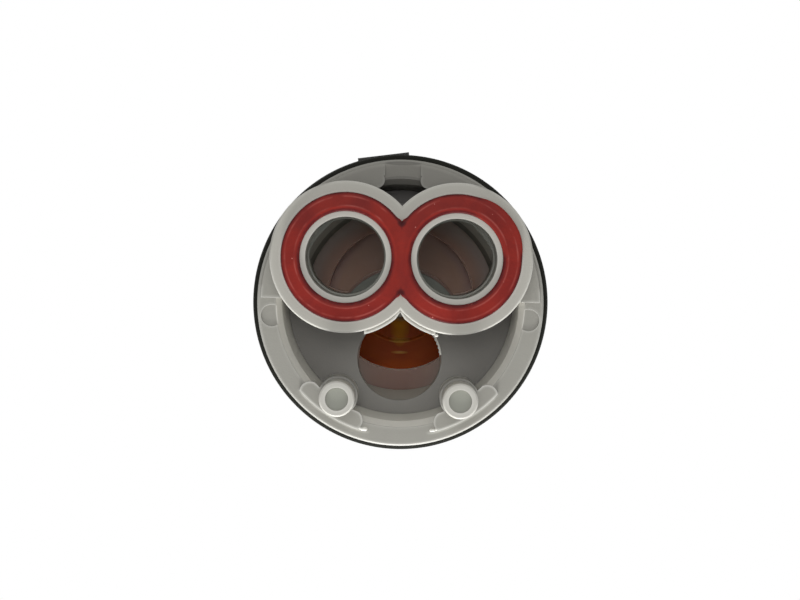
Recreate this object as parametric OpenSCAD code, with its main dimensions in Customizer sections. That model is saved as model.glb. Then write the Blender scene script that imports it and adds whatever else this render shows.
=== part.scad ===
// Single-lever mixer cartridge, nominal diameter 40 mm, with ceramic discs.
// Origin: on the axis, in the plane of the port block's face. +Z points along the axis to the lever,
// the two inlet ports lie towards -Y, the outlet and the locating pins towards +Y.
// Rest position: valve shut, lever leaning towards -Y.

/* [Body] */
// Outer radius of the housing barrel
housing_r = 19.9; // [19.6:0.1:22]
// Wall of the housing barrel
housing_wall = 1.75; // [1.3:0.05:2.2]
// How far the base rim lies inside the barrel radius
rim_inset = 0.6; // [0.4:0.1:0.8]
// Length of the housing neck above its shoulder
neck_h = 8; // [6.5:0.5:11]
// Width of the housing shoulder, from the barrel to the neck
shoulder_w = 4.4; // [3.6:0.1:4.8]
// Wall of the housing neck
neck_wall = 3.4; // [3:0.05:3.8]
// Thickness of the housing shoulder
shoulder_t = 2; // [1.5:0.1:3]

/* [Base] */
// Height of the rim face above the port face
rim_z = 5; // [4:0.1:6]
// Width of the rim face, from the edge to the cavity
rim_w = 2.5; // [2.2:0.1:2.9]
// Height of the cavity floor above the port face
floor_z = 10.5; // [9.5:0.1:11.5]
// Thickness of the plate between the cavity and the disc seat
floor_t = 3.5; // [3:0.1:5]
// Radius of the cavity at its floor
cavity_r = 15.3; // [14.8:0.1:16]
// Height of the land below the ring groove
lower_land = 2.6; // [2:0.1:3]
// Height of the land above the ring groove
upper_land = 1.4; // [1:0.1:2.5]
// Section diameter of the body ring
ring_d = 1.9; // [1.5:0.1:2.1]
// Wall of the spigot that holds the fixed disc
spigot_wall = 2.6; // [2.2:0.1:3]

/* [Inlet ports] */
// Half the distance between the two inlet ports
port_x = 7.4; // [7.2:0.05:7.8]
// Distance of the port centres from the axis, along Y
port_y = -6.1; // [-6.4:0.05:-5.6]
// Radius of an inlet bore
port_r = 5.35; // [5:0.05:5.5]
// Wall between an inlet bore and the seal groove
ring_wall = 0.75; // [0.6:0.05:1]
// Width of the seal groove
groove_w = 2.5; // [2.2:0.1:2.7]
// Wall outside the seal groove
block_wall = 1.5; // [1.2:0.1:1.8]
// Depth of the seal groove
groove_depth = 2.3; // [1.8:0.1:3]
// How far the port seal stands out of the port face
seal_proud = 0.6; // [0.3:0.1:0.9]
// Straight length of an inlet bore
bore_len = 8; // [6:0.5:9]
// Radius of the ledge between inlets and outlet
ledge_r = 8.8; // [8.5:0.1:9]
// Distance of the ledge's centre from the axis, along Y
ledge_y = 4.4; // [4.2:0.1:4.7]
// Thickness of the ledge
ledge_t = 2.5; // [2:0.1:3]

/* [Outlet] */
// Radius of the outlet hole in the cavity floor
hole_r = 5.75; // [5.2:0.05:6]
// Distance of the outlet hole from the axis
hole_y = 7.77; // [7.4:0.01:8]

/* [Locating pins] */
// Half the distance between the locating pins
pin_x = 8.17; // [7.6:0.01:9]
// Distance of the pins from the axis, along Y
pin_y = 12.66; // [12.2:0.01:12.9]
// Radius of a locating pin
pin_r = 2.36; // [2:0.01:2.5]
// How far the pins reach past the port face
pin_reach = 2; // [1:0.1:4]
// Radius of the core hole in a pin
core_r = 1.53; // [1.2:0.01:1.6]
// Depth of the core hole in a pin
core_depth = 0.3; // [0.3:0.1:4]

/* [Discs and seals] */
// Thickness of the fixed disc
fixed_t = 3.5; // [3:0.1:4.5]
// Thickness of the moving disc
moving_t = 3; // [2.5:0.1:4]
// Width of the gaskets under the fixed disc
gasket_w = 0.85; // [0.7:0.05:0.95]
// Height of the gaskets under the fixed disc
gasket_h = 1.7; // [1.4:0.1:2]
// How far the gaskets hold the fixed disc off its seat
gasket_proud = 0.3; // [0.1:0.05:0.4]
// Radius that the inlet ports of the fixed disc reach to
disc_inlet_r = 10.2; // [9.8:0.1:10.8]
// Radius that the outlet port of the fixed disc reaches to
disc_outlet_r = 9.62; // [9.3:0.01:9.8]

/* [Mechanism] */
// Tilt of the lever from shut to fully open, in degrees
tilt_range = 26; // [20:1:28]
// Distance from the lever's pivot to its ball
lever_arm = 10; // [9:0.5:11]
// Turn of the lever to each side, in degrees
turn_range = 50; // [35:1:50]
// Thickness of the carrier plate
carrier_t = 4.2; // [4:0.1:5]
// Thickness of the rotor flange
flange_t = 5; // [5:0.1:6]
// Thickness of the glide ring
glide_t = 1; // [0.6:0.1:1.5]
// Radius of the lever's ball
ball_r = 2.6; // [2.4:0.1:2.9]
// Radius of the lever's pivot pin
pivot_r = 2; // [1.6:0.1:2.3]
// Height of the rotor above the housing neck
rotor_rise = 1.5; // [1:0.1:3]

/* [Lever] */
// Side of the square lever shank
shank_w = 8; // [7:0.1:9]
// Length of the lever above its pivot
lever_len = 27; // [22:0.5:34]

/* [Limiter ring] */
// Number of splines that index the limiter ring
spline_count = 36; // [24:1:48]
// Height of the limiter ring
limiter_h = 3.2; // [2.5:0.1:4]
// Radial thickness of the limiter ring
limiter_w = 1.6; // [1.4:0.1:2.2]

/* [Hidden] */
$fn = 96;

// Clearances
film = 0.02;        // lapped and greased faces that slide on each other
snug = 0.05;        // pins and rings in their holes
fit = 0.1;          // plastic parts that locate each other
slack = 0.25;       // parts that only have to pass each other
eps = 0.01;         // overlap of solids that are joined or cut

// Radii that follow from the barrel
base_r = housing_r - rim_inset;
housing_bore_r = housing_r - housing_wall;
spigot_r = housing_bore_r - fit;
spigot_in_r = spigot_r - spigot_wall;
disc_r = spigot_in_r - 1.5 * fit;
ring_root_r = base_r - 0.62 * ring_d;
rim_in_r = base_r - rim_w;
flange_r = housing_bore_r - 2 * slack;
neck_r = housing_r - shoulder_w;
neck_bore_r = neck_r - neck_wall;
rotor_r = neck_bore_r - snug;

// Heights that follow from the stack
groove_z = rim_z + lower_land;
groove_h = ring_d + 2 * fit;
joint_z = groove_z + groove_h + upper_land;
seat_z = floor_z + floor_t;
fixed_z = seat_z + gasket_proud;
moving_z = fixed_z + fixed_t + film;
carrier_z = moving_z + moving_t;
flange_z = carrier_z + carrier_t + film;
glide_z = flange_z + flange_t + film;
shoulder_in_z = glide_z + glide_t;
shoulder_z = shoulder_in_z + shoulder_t;
neck_z = shoulder_z + neck_h;
rotor_z = neck_z + rotor_rise;
spigot_z = fixed_z + fixed_t - 0.5;

// Figure-eight port block and its seal
groove_in_r = port_r + ring_wall;
groove_out_r = groove_in_r + groove_w;
lobe_r = groove_out_r + block_wall;
seal_in_r = groove_in_r + fit;
seal_out_r = groove_out_r - fit;
edge_break = 0.2;
channel_r = port_r - 0.25;

// Lip at the foot of the valley between the lobes, on the outlet side, with a slit at its middle
lip_w = 0.5;
lip_z = 0.8;
lip_half = 4.75;
slit_y = port_y + sqrt(pow(lobe_r, 2) - pow(port_x, 2)) + 0.35;
slit_slope = 1.5;
slit_len = 1.6;

// Mouths of the channels at the disc seat
mouth_wall = 0.6;
gasket_in = mouth_wall + snug;
gasket_out = gasket_in + gasket_w;
pocket_out = gasket_out + fit;
mouth_r = disc_r - gasket_out - 0.7;
outlet_mouth_r = mouth_r - 0.8;
ledge_z = seat_z - ledge_t;

// Cavity, web and pads of the base
web_rise = 0.2;
web_y = -0.4;
cavity_chamfer = 1;
web_r = (rim_in_r + ring_root_r) / 2;
block_clip_r = (rim_in_r + web_r) / 2;
notch_half = 2.4;
notch_corner_r = 1.1;
ramp_angle = 8;
ramp_run = 3.6;
pad_rise = 0.5;
pad_out_r = rim_in_r + 1.2;
pad_in_r = rim_in_r - 1.1;
pad_end_r = 1.45;
pad_mid_r = rim_in_r - 0.05;
pad_half = 3.4;
pin_angle = atan2(pin_y, pin_x);
pin_foot_r = pin_r + 0.3;
mark_r = 1.45;
mark_depth = 0.15;
mark_x = (rim_in_r + base_r) / 2 - 0.75;
mark_y = 2;

// Snap lugs of the base in the windows of the housing
lug_angles = [40, 140, 220, 320];
lug_half = 11;
lug_rise = 1.1;
lug_z = joint_z + 2.2;
lug_h = 2.6;

// Keys that stop the fixed disc from turning
key_r = 1.1;

// Valve motion: the ball swings evenly to both sides of the axis
tilt = tilt_range / 2;
shut_offset = lever_arm * sin(tilt);
moving_r = disc_r + 0.15 - shut_offset;
chamber_out_r = disc_outlet_r + 0.63;
chamber_corner_r = 3.1;
chamber_corner_a = 24;
chamber_low_r = 4.2;
chamber_depth = 1.5;
dome_depth = 1;
dome_r = 6.4;
dome_y = -0.45;
dome_slope = 0.25;
socket_floor = 0.8;
seal_section = 1.3;
coupling_x = moving_r - 1.6;
coupling_half = 1.6;
coupling_h = 1.2;

socket_z = carrier_z + chamber_depth + dome_depth + socket_floor;
pivot_z = socket_z + ball_r + 0.15 + lever_arm;
socket_r = ball_r + fit;
hub_x = socket_r + 2.7;
hub_y = socket_r + 2.5;
hub_z = socket_z + ball_r + 2.4;
hub_room = shut_offset + slack;

// Lever
lever_neck_r = 1.9;
blade_half = shank_w / 2 - 0.5;
slot_x = shank_w / 2 + 1.5 * fit;
slot_y = shank_w / 2 / cos(tilt) + (rotor_z - pivot_z) * tan(tilt) + slack;
grip_hole_r = 2.6;

// Turn stop: a lug on the rotor runs in a recess of the housing neck
stop_out_r = rotor_r + 1.7;
stop_half = 9;
stop_h = 3;
stop_z = neck_z - stop_h;
stop_room = turn_range + stop_half + 0.5;
limit_half = 6;

// Collar and key lug on the housing
collar_r = housing_r + 0.3;
key_lug_turn = -7.9;
key_lug_w = 7.4;
key_lug_r = housing_r + 0.95;
key_lug_h = 5;
key_lug_z = shoulder_z - key_lug_h - 1.5;
collar_z = key_lug_z - 0.6;

// Splines on the neck and in the limiter ring
spline_d = 0.45;
limiter_z = neck_z - limiter_h;
limiter_out_r = neck_r + spline_d + limiter_w;

// Round post that stands on z = 0, with its lower outer edge broken
module post(r, h) {
    rotate_extrude()
        polygon([[0, 0], [r - edge_break, 0], [r, edge_break], [r, h], [0, h]]);
}

// Sector of a ring between two radii, centred on the angle mid
module ring_sector(r_in, r_out, mid, half, h) {
    rotate([0, 0, mid - half])
        rotate_extrude(angle = 2 * half)
            translate([r_in, 0]) square([r_out - r_in, h]);
}

// Opening of an inlet channel at the seat: the bore, cut by the ledge and by the seat radius
module inlet_mouth_2d(side, grow = 0) {
    difference() {
        intersection() {
            translate([side * port_x, port_y]) circle(r = port_r + grow);
            circle(r = mouth_r + grow);
        }
        translate([0, ledge_y]) circle(r = ledge_r - grow);
    }
}

// Opening of the outlet channel at the seat
module outlet_mouth_2d(grow = 0) {
    intersection() {
        translate([0, hole_y]) circle(r = hole_r + grow);
        circle(r = outlet_mouth_r + grow);
    }
}

// Figure-eight block that carries both inlet ports: above the rim it stays inside the cavity wall
module port_block() {
    for (side = [-1, 1]) {
        translate([side * port_x, port_y, 0]) post(lobe_r, rim_z + 0.3);
        intersection() {
            translate([side * port_x, port_y, rim_z]) cylinder(r = lobe_r, h = floor_z - rim_z + 0.7);
            cylinder(r = block_clip_r, h = seat_z);
        }
    }
}

// Wedge at the middle of the valley on the outlet side
module slit(z, h) {
    translate([0, slit_y, z])
        linear_extrude(h)
            polygon([[0, 0], [slit_len / slit_slope, slit_len], [-slit_len / slit_slope, slit_len]]);
}

// Lip that follows both lobes down to the outlet hole
module block_lip() {
    difference() {
        intersection() {
            for (side = [-1, 1])
                translate([side * port_x, port_y, lip_z])
                    cylinder(r = lobe_r + lip_w, h = floor_z - lip_z + 0.4);
            translate([-lip_half, port_y, 0]) cube([2 * lip_half, lobe_r + 1, seat_z]);
        }
        slit(0, floor_z);
    }
}

// Pocket between the two lobes, closed sideways by the rounded corners of the web
module notch_2d() {
    corner_x = notch_half + notch_corner_r;
    difference() {
        translate([-corner_x, -rim_in_r - 0.3]) square([2 * corner_x, rim_in_r + 0.3 + port_y]);
        for (side = [-1, 1])
            translate([side * corner_x, -rim_in_r + 0.3]) circle(r = notch_corner_r);
    }
}

// Raised pad with round ends that a locating pin stands on, bent along the rim
module pin_pad_2d(side) {
    mirror([side < 0 ? 1 : 0, 0])
        rotate([0, 0, pin_angle])
            difference() {
                intersection() {
                    circle(r = pad_out_r);
                    union() {
                        translate([pad_mid_r - 1.6, -pad_half]) square([3.2, 2 * pad_half]);
                        for (end = [-1, 1]) translate([pad_mid_r, end * pad_half]) circle(r = pad_end_r);
                    }
                }
                circle(r = pad_in_r);
            }
}

// Locating pin with a wider foot, which goes down to the cavity floor inside the rim
module locating_pin(side) {
    translate([side * pin_x, pin_y, -pin_reach]) post(pin_r, rim_z + pin_reach);
    translate([side * pin_x, pin_y, rim_z - pad_rise]) cylinder(r = pin_foot_r, h = pad_rise + 0.3);
    intersection() {
        translate([side * pin_x, pin_y, rim_z]) cylinder(r = pin_foot_r, h = floor_z - rim_z + 0.5);
        cylinder(r = web_r, h = seat_z);
    }
}

// Rim, ring groove, cavity floor and the spigot that holds the fixed disc
module base_shell() {
    rotate_extrude()
        polygon([
            [0, floor_z], [cavity_r, floor_z], [rim_in_r - 0.8, rim_z + cavity_chamfer],
            [rim_in_r, rim_z], [base_r - edge_break, rim_z], [base_r, rim_z + edge_break],
            [base_r, groove_z], [ring_root_r, groove_z], [ring_root_r, groove_z + groove_h],
            [base_r, groove_z + groove_h], [base_r, joint_z], [spigot_r, joint_z],
            [spigot_r, spigot_z], [spigot_in_r, spigot_z], [spigot_in_r, seat_z], [0, seat_z]
        ]);
}

// Wedge-shaped lug that snaps into a window of the housing
module snap_lug(mid) {
    rotate([0, 0, mid - lug_half])
        rotate_extrude(angle = 2 * lug_half)
            polygon([[spigot_r - 0.5, lug_z], [spigot_r + lug_rise, lug_z],
                     [spigot_r + lug_rise, lug_z + 0.6], [spigot_r + 0.1, lug_z + lug_h],
                     [spigot_r - 0.5, lug_z + lug_h]]);
}

// Half disc on the inlet side, open at the pocket between the lobes
module web_2d(r) {
    difference() {
        intersection() {
            circle(r = r);
            translate([-r, -r]) square([2 * r, r + web_y]);
        }
        notch_2d();
    }
}

// Flat web that joins the rim to the port block on the inlet side
module inlet_web() {
    translate([0, 0, rim_z - web_rise]) linear_extrude(web_rise + 0.3) web_2d(base_r - 0.45);
    translate([0, 0, rim_z]) linear_extrude(floor_z - rim_z + 0.2) web_2d(web_r);
}

// Inlet channel: a straight bore that narrows to its mouth, with a ledge beside the outlet
module inlet_channel(side) {
    far_r = norm([port_x, port_y]) + channel_r - 0.35;
    channel_h = seat_z - bore_len + 3 * eps;
    translate([side * port_x, port_y, -eps]) cylinder(r = port_r, h = bore_len + eps);
    difference() {
        intersection() {
            translate([side * port_x, port_y, bore_len - eps]) cylinder(r = channel_r, h = channel_h);
            translate([0, 0, bore_len - eps]) cylinder(r1 = far_r, r2 = mouth_r, h = channel_h);
        }
        translate([0, ledge_y, ledge_z]) cylinder(r = ledge_r, h = seat_z);
    }
    translate([0, 0, fixed_z - gasket_h])
        linear_extrude(gasket_h)
            difference() {
                inlet_mouth_2d(side, pocket_out);
                inlet_mouth_2d(side, mouth_wall);
            }
}

// Outlet channel: a round hole in the cavity floor that narrows to its mouth, with the slit beside it
module outlet_channel() {
    channel_h = floor_t + 3 * eps;
    slit(floor_z - eps, floor_t - gasket_h - 0.3);
    intersection() {
        translate([0, hole_y, floor_z - eps]) cylinder(r = hole_r, h = channel_h);
        translate([0, 0, floor_z - eps])
            cylinder(r1 = hole_y + hole_r + 0.1, r2 = outlet_mouth_r, h = channel_h);
    }
    translate([0, 0, fixed_z - gasket_h])
        linear_extrude(gasket_h)
            difference() {
                outlet_mouth_2d(pocket_out);
                outlet_mouth_2d(mouth_wall);
            }
}

// Groove for the port seal, around both ring walls
module seal_groove() {
    translate([0, 0, -eps])
        difference() {
            for (side = [-1, 1])
                translate([side * port_x, port_y, 0]) cylinder(r = groove_out_r, h = groove_depth + eps);
            for (side = [-1, 1])
                translate([side * port_x, port_y, -eps])
                    cylinder(r = groove_in_r, h = groove_depth + 3 * eps);
        }
}

// Ramp in the rim beside the notch
module notch_ramp() {
    ramp_t = 3;
    translate([0, -base_r + 0.5, rim_z - web_rise])
        rotate([ramp_angle, 0, 0])
            translate([-notch_half, 0, -ramp_t]) cube([2 * notch_half, ramp_run, ramp_t]);
}

module base() {
    color("silver")
    difference() {
        union() {
            base_shell();
            port_block();
            block_lip();
            inlet_web();
            for (side = [-1, 1]) {
                translate([0, 0, rim_z - pad_rise])
                    linear_extrude(floor_z - rim_z + pad_rise + 0.3) pin_pad_2d(side);
                locating_pin(side);
                translate([side * spigot_in_r, 0, seat_z - 0.3])
                    cylinder(r = key_r, h = spigot_z - seat_z + 0.2);
            }
            for (mid = lug_angles) snap_lug(mid);
        }
        for (side = [-1, 1]) {
            inlet_channel(side);
            translate([side * pin_x, pin_y, -pin_reach - eps]) cylinder(r = core_r, h = core_depth + eps);
            translate([side * mark_x, mark_y, rim_z - eps]) cylinder(r = mark_r, h = mark_depth + eps);
        }
        seal_groove();
        outlet_channel();
        notch_ramp();
    }
}

// Figure-eight seal with a rounded crown and a raised bead beside each bore
module port_seal() {
    bead = 0.7;
    color("firebrick")
    difference() {
        union()
            for (side = [-1, 1])
                translate([side * port_x, port_y, 0])
                    rotate_extrude()
                        polygon([
                            [seal_in_r, groove_depth], [seal_in_r, -0.1], [seal_in_r + 0.2, -0.3],
                            [seal_in_r + 0.35, -seal_proud], [seal_in_r + bead, -seal_proud],
                            [seal_in_r + bead + 0.2, -0.35], [seal_out_r - 0.5, -0.35],
                            [seal_out_r, 0.1], [seal_out_r, groove_depth]
                        ]);
        for (side = [-1, 1])
            translate([side * port_x, port_y, -seal_proud - eps])
                cylinder(r = seal_in_r, h = groove_depth + seal_proud + 2 * eps);
    }
}

// Ring that seals the base in the bore of the tap body
module body_ring() {
    color("#1b1b1b")
    translate([0, 0, groove_z + groove_h / 2])
        rotate_extrude() translate([ring_root_r + snug + ring_d / 2, 0]) circle(d = ring_d);
}

module inlet_gasket(side) {
    color("#2a2a2a")
    translate([0, 0, fixed_z - gasket_h])
        linear_extrude(gasket_h)
            difference() {
                inlet_mouth_2d(side, gasket_out);
                inlet_mouth_2d(side, gasket_in);
            }
}

module hot_gasket() { inlet_gasket(-1); }

module cold_gasket() { inlet_gasket(1); }

module outlet_gasket() {
    color("#2a2a2a")
    translate([0, 0, fixed_z - gasket_h])
        linear_extrude(gasket_h)
            difference() {
                outlet_mouth_2d(gasket_out);
                outlet_mouth_2d(gasket_in);
            }
}

// Fixed ceramic disc with two inlet ports and one outlet port
module fixed_disc() {
    port_inset = 0.35;
    color("#b9a9a2")
    translate([0, 0, fixed_z])
        difference() {
            cylinder(r = disc_r, h = fixed_t);
            for (side = [-1, 1]) {
                translate([0, 0, -eps])
                    linear_extrude(fixed_t + 2 * eps)
                        difference() {
                            intersection() {
                                translate([side * port_x, port_y]) circle(r = port_r - port_inset);
                                circle(r = disc_inlet_r);
                            }
                            translate([0, ledge_y]) circle(r = ledge_r + port_inset);
                        }
                translate([side * spigot_in_r, 0, -eps]) cylinder(r = key_r + 0.15, h = fixed_t + 2 * eps);
            }
            translate([0, 0, -eps])
                linear_extrude(fixed_t + 2 * eps)
                    intersection() {
                        translate([0, hole_y]) circle(r = hole_r - 0.15);
                        circle(r = disc_outlet_r);
                    }
        }
}

// Mixing chamber in the shut position: a rounded triangle that covers the outlet port only
module chamber_2d(grow = 0) {
    corner_dist = chamber_out_r - chamber_corner_r;
    corners = [for (side = [-1, 1])
        corner_dist * [side * sin(chamber_corner_a), cos(chamber_corner_a)]];
    hull() {
        circle(r = chamber_low_r + grow, $fn = 64);
        for (c = corners) translate(c) circle(r = chamber_corner_r + grow, $fn = 48);
    }
    intersection() {
        circle(r = chamber_out_r + grow - 0.06);
        polygon([[0, 0], 2 * corners[0], 2 * corners[1]]);
    }
}

// Slots at the rim of the moving disc, and the lugs of the carrier that sit in them
module coupling(gap) {
    reach = moving_r - coupling_x + 1;
    for (side = [-1, 1])
        translate([side * (coupling_x + reach), shut_offset, 0])
            cube([2 * (reach + gap), 2 * (coupling_half + gap), 2 * (coupling_h + gap)], center = true);
}

module moving_disc() {
    color("#a79a94")
    difference() {
        translate([0, shut_offset, moving_z]) cylinder(r = moving_r, h = moving_t);
        translate([0, 0, moving_z - eps]) linear_extrude(moving_t + 2 * eps) chamber_2d();
        translate([0, 0, carrier_z]) coupling(fit);
    }
}

module carrier_seal() {
    color("#2a2a2a")
    translate([0, 0, carrier_z])
        linear_extrude(seal_section)
            difference() {
                chamber_2d(0.6 + seal_section);
                chamber_2d(0.6);
            }
}

// Carrier that couples the moving disc to the lever, with the chamber's ceiling in its underside
module disc_carrier() {
    color("#c8781e")
    difference() {
        union() {
            translate([0, shut_offset, carrier_z]) cylinder(r = moving_r, h = carrier_t);
            intersection() {
                translate([0, 0, carrier_z]) coupling(0);
                translate([0, shut_offset, moving_z]) cylinder(r = moving_r, h = moving_t + 1);
            }
            translate([-hub_x, shut_offset - hub_y, carrier_z + carrier_t - 1])
                cube([2 * hub_x, 2 * hub_y, hub_z - carrier_z - carrier_t + 1]);
        }
        translate([0, 0, carrier_z - eps]) linear_extrude(chamber_depth) chamber_2d(0.3);
        translate([0, 0, carrier_z - eps])
            linear_extrude(seal_section + fit)
                difference() {
                    chamber_2d(0.6 + seal_section + snug);
                    chamber_2d(0.6 - snug);
                }
        intersection() {
            translate([0, dome_y, carrier_z + chamber_depth - 2 * eps])
                cylinder(r1 = dome_r, r2 = dome_r - dome_slope, h = dome_depth);
            translate([0, 0, carrier_z]) linear_extrude(chamber_depth + 2 * dome_depth) chamber_2d(-0.3);
        }
        translate([0, shut_offset, socket_z]) cylinder(r = socket_r, h = hub_z - socket_z + 1);
    }
}

// Guide that turns in the housing, steers the carrier and holds the lever's pin
module rotor() {
    stem_h = rotor_z - flange_z - flange_t;
    color("#3a3a3c")
    difference() {
        union() {
            translate([0, 0, flange_z]) cylinder(r = flange_r, h = flange_t);
            translate([0, 0, flange_z + flange_t - eps])
                rotate_extrude()
                    polygon([[0, 0], [rotor_r, 0], [rotor_r, stem_h - 1], [rotor_r - 1, stem_h], [0, stem_h]]);
            translate([0, 0, stop_z + film])
                ring_sector(rotor_r - 1, stop_out_r, 90, stop_half, stop_h - film);
        }
        // Room for the carrier's hub, which slides along Y
        translate([-hub_x - fit, -hub_y - hub_room, flange_z - eps])
            cube([2 * (hub_x + fit), 2 * (hub_y + hub_room), hub_z + slack - flange_z]);
        // Slot for the lever
        translate([-slot_x, -slot_y, hub_z]) cube([2 * slot_x, 2 * slot_y, rotor_z]);
        translate([-rotor_r - 1, 0, pivot_z])
            rotate([0, 90, 0]) cylinder(r = pivot_r + film, h = 2 * rotor_r + 2);
    }
}

module lever_pin() {
    color("lightsteelblue")
    translate([-rotor_r + 0.3, 0, pivot_z])
        rotate([0, 90, 0]) cylinder(r = pivot_r, h = 2 * rotor_r - 0.6);
}

// Lever: square shank, blade at the pivot, round neck and ball, leaning to the shut side
module lever() {
    blade_top = rotor_z - pivot_z + 1;
    color("lightgray")
    translate([0, 0, pivot_z])
        rotate([tilt, 0, 0])
            difference() {
                union() {
                    translate([-shank_w / 2, -shank_w / 2, -0.5])
                        cube([shank_w, shank_w, lever_len - 0.5]);
                    translate([-shank_w / 2 + 1, -shank_w / 2 + 1, lever_len - 1.5])
                        cube([shank_w - 2, shank_w - 2, 1.5]);
                    rotate([0, 90, 0])
                        translate([0, 0, -shank_w / 2]) cylinder(r = blade_half, h = shank_w);
                    translate([0, 0, -lever_arm]) cylinder(r = lever_neck_r, h = lever_arm);
                    translate([0, 0, -lever_arm]) sphere(r = ball_r);
                }
                translate([-shank_w, 0, 0])
                    rotate([0, 90, 0]) cylinder(r = pivot_r + snug, h = 2 * shank_w);
                // Dimple for the grub screw of the handle
                translate([0, -shank_w / 2 - eps, blade_top + (lever_len - blade_top) / 2])
                    rotate([-90, 0, 0]) cylinder(r1 = grip_hole_r, r2 = grip_hole_r - 1.2, h = 1.2);
            }
}

// Low-friction ring between the rotor flange and the housing shoulder
module glide_ring() {
    color("ivory")
    translate([0, 0, glide_z])
        difference() {
            cylinder(r = housing_bore_r - slack, h = glide_t);
            translate([0, 0, -eps]) cylinder(r = neck_bore_r + slack, h = glide_t + 2 * eps);
        }
}

// Outline of the splined neck, grown all round for the ring that slips over it
module spline_2d(grow) {
    step = 360 / spline_count;
    half = step / 4;
    circle(r = neck_r + grow);
    for (k = [0 : spline_count - 1])
        rotate(k * step)
            polygon([
                [neck_r - 1, -tan(half) * (neck_r - 1) - grow],
                [neck_r + grow, -tan(half) * neck_r - grow],
                [neck_r + spline_d + grow, -tan(half) * neck_r / 2 - grow],
                [neck_r + spline_d + grow, tan(half) * neck_r / 2 + grow],
                [neck_r + grow, tan(half) * neck_r + grow],
                [neck_r - 1, tan(half) * (neck_r - 1) + grow]
            ]);
}

module housing() {
    color("#161616")
    difference() {
        union() {
            rotate_extrude()
                polygon([
                    [housing_bore_r, joint_z], [housing_r, joint_z], [housing_r, collar_z],
                    [collar_r, collar_z], [collar_r, shoulder_z - 1],
                    [collar_r - 1, shoulder_z], [neck_r, shoulder_z], [neck_r, neck_z],
                    [neck_bore_r, neck_z], [neck_bore_r, shoulder_in_z], [housing_bore_r, shoulder_in_z]
                ]);
            translate([0, 0, limiter_z - 0.8])
                linear_extrude(neck_z - limiter_z + 0.4)
                    difference() {
                        spline_2d(0);
                        circle(r = neck_bore_r + 1);
                    }
            rotate([0, 0, key_lug_turn])
                translate([-key_lug_w / 2, -key_lug_r, key_lug_z])
                    cube([key_lug_w, 2, key_lug_h]);
        }
        for (mid = lug_angles)
            translate([0, 0, lug_z - fit])
                ring_sector(spigot_r + 0.02, housing_r + 1, mid, lug_half + 0.5, lug_h + 2 * fit);
        // Recess in which the rotor's stop lug travels, longer on one side for the limiter tab
        translate([0, 0, stop_z])
            ring_sector(neck_bore_r - 0.5, stop_out_r + fit,
                        90 - limit_half, stop_room + limit_half, stop_h + 1);
    }
}

// Splined ring whose tab sets how far the lever turns to the hot side
module limiter_ring() {
    tab_mid = 90 - stop_room - limit_half;
    tab_t = 0.8;
    color("#b02020")
    union() {
        translate([0, 0, limiter_z])
            linear_extrude(limiter_h + film + tab_t)
                difference() {
                    circle(r = limiter_out_r);
                    spline_2d(fit);
                }
        translate([0, 0, neck_z + film])
            ring_sector(neck_bore_r + fit, limiter_out_r - 0.5, tab_mid, limit_half - 0.5, tab_t - 0.1);
        translate([0, 0, stop_z + fit])
            ring_sector(neck_bore_r + fit, stop_out_r - fit, tab_mid, limit_half - 0.5, stop_h + 0.3);
    }
}

base();
port_seal();
body_ring();
hot_gasket();
cold_gasket();
outlet_gasket();
fixed_disc();
moving_disc();
carrier_seal();
disc_carrier();
rotor();
lever_pin();
lever();
glide_ring();
housing();
limiter_ring();
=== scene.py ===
# %% [markdown]
# # A mixer cartridge, seen from its ports
#
# A single-lever tap hides a cartridge. It is a stack of small parts: a light gray base with two inlet ports,
# ceramic discs that slide on each other, and a lever that tilts and turns them. This lesson dresses the
# engineering model of such a cartridge for a product photograph, looking straight at the ports.
#
# The shapes come from the frame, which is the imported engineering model. It could all be modelled again by
# hand, but then the parts would no longer fit, so the lesson keeps the frame and gives it finishes. Only the
# soft parts and the finest trim are modelled here.

import math

import bmesh
import bpy
from mathutils import Matrix, Vector


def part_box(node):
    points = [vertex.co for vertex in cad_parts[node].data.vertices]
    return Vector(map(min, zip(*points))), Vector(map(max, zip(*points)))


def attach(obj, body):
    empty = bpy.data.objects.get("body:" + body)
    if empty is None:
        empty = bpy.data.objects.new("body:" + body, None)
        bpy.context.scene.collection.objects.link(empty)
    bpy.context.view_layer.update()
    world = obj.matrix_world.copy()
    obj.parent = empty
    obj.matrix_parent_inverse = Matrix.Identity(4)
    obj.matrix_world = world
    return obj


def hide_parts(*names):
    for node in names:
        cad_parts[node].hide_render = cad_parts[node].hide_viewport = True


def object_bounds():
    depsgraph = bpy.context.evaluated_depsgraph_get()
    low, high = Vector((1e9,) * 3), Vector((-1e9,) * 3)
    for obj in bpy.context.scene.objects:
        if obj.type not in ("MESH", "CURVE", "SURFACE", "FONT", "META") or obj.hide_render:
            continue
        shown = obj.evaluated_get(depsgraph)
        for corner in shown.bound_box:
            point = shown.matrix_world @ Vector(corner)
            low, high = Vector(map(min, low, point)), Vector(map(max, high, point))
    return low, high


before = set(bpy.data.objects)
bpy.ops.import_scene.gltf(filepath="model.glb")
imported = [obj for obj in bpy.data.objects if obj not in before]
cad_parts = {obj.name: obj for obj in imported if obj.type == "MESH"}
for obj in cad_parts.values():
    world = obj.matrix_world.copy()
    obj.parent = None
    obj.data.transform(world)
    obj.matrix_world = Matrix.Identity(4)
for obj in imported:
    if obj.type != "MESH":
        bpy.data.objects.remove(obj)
cad_low, cad_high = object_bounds()
scene = bpy.context.scene
MM = 0.001
print("nodes in the frame:", len(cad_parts))

# %% [markdown]
# ## Camera
#
# The photograph looks up at the ports from about 300 mm below, a little off the axis, so that parts far from
# the lens drift towards the top of the picture. A long lens from a real distance gives the same drift. The
# camera could be aimed with a constraint, but three vectors say it plainly: where it looks, what is up and
# what is right.

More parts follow.
